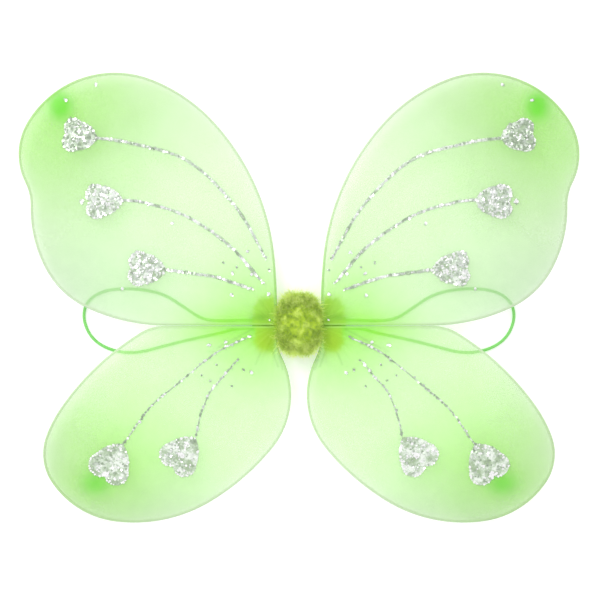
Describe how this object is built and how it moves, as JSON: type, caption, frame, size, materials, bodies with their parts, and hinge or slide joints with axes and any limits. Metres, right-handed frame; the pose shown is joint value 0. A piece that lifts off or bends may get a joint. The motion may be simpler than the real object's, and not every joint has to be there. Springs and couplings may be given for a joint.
{
  "type": "fairy wings",
  "caption": "Child's butterfly costume wings: four nylon-covered wire wings with glitter hearts and veins, a plush centre and elastic arm loops.",
  "frame": {"origin": "on the floor under the middle of the wings, which lie face up on their back pad", "axes": "+X is the wearer's right, +Y points to the wearer's head along the wings' height, +Z points away from the wearer's back"},
  "size_m": [0.4808, 0.3858, 0.0281],
  "materials": {
    "nylon": "satin",
    "frame_wire": "satin",
    "heart_glitter": "gloss",
    "vein_glitter": "gloss",
    "dot_glitter": "gloss",
    "felt": "matte",
    "plush": "matte",
    "puff": "matte",
    "tape": "matte",
    "thread": "matte",
    "elastic_tab": "matte",
    "elastic": "matte"
  },
  "bodies": {
    "centre": {"back_felt": "felt", "back_pad": "plush", "centre_tape": "tape", "centre_tie": "thread", "front_puff": "puff", "left_binding_thread": "thread", "left_elastic_loop": "elastic", "left_elastic_tab": "elastic_tab", "lower_crossing_wires": "frame_wire", "lower_left_nylon_neck": "nylon", "lower_right_nylon_neck": "nylon", "right_binding_thread": "thread", "right_elastic_loop": "elastic", "right_elastic_tab": "elastic_tab", "upper_crossing_wires": "frame_wire", "upper_left_nylon_neck": "nylon", "upper_right_nylon_neck": "nylon"},
    "lower_left_wing": {"lower_left_glitter_dots": "dot_glitter", "lower_left_inner_heart": "heart_glitter", "lower_left_inner_vein": "vein_glitter", "lower_left_nylon_cover": "nylon", "lower_left_outer_heart": "heart_glitter", "lower_left_outer_vein": "vein_glitter", "lower_left_wire": "frame_wire"},
    "lower_right_wing": {"lower_right_glitter_dots": "dot_glitter", "lower_right_inner_heart": "heart_glitter", "lower_right_inner_vein": "vein_glitter", "lower_right_nylon_cover": "nylon", "lower_right_outer_heart": "heart_glitter", "lower_right_outer_vein": "vein_glitter", "lower_right_wire": "frame_wire"},
    "upper_left_wing": {"upper_left_glitter_dots": "dot_glitter", "upper_left_inner_heart": "heart_glitter", "upper_left_inner_vein": "vein_glitter", "upper_left_middle_heart": "heart_glitter", "upper_left_middle_vein": "vein_glitter", "upper_left_nylon_cover": "nylon", "upper_left_outer_heart": "heart_glitter", "upper_left_outer_vein": "vein_glitter", "upper_left_wire": "frame_wire"},
    "upper_right_wing": {"upper_right_glitter_dots": "dot_glitter", "upper_right_inner_heart": "heart_glitter", "upper_right_inner_vein": "vein_glitter", "upper_right_middle_heart": "heart_glitter", "upper_right_middle_vein": "vein_glitter", "upper_right_nylon_cover": "nylon", "upper_right_outer_heart": "heart_glitter", "upper_right_outer_vein": "vein_glitter", "upper_right_wire": "frame_wire"}
  },
  "joints": [
    {"name": "upper_left_fold", "type": "hinge", "parent": "centre", "child": "upper_left_wing", "pos_m": [-0.02, -0.0236, 0.014], "axis": [0, 1, 0], "range_deg": [0, 85]},
    {"name": "upper_right_fold", "type": "hinge", "parent": "centre", "child": "upper_right_wing", "pos_m": [0.02, -0.0236, 0.014], "axis": [0, -1, 0], "range_deg": [0, 85]},
    {"name": "lower_left_fold", "type": "hinge", "parent": "centre", "child": "lower_left_wing", "pos_m": [-0.02, -0.0264, 0.014], "axis": [0, 1, 0], "range_deg": [0, 85]},
    {"name": "lower_right_fold", "type": "hinge", "parent": "centre", "child": "lower_right_wing", "pos_m": [0.02, -0.0264, 0.014], "axis": [0, -1, 0], "range_deg": [0, 85]}
  ]
}
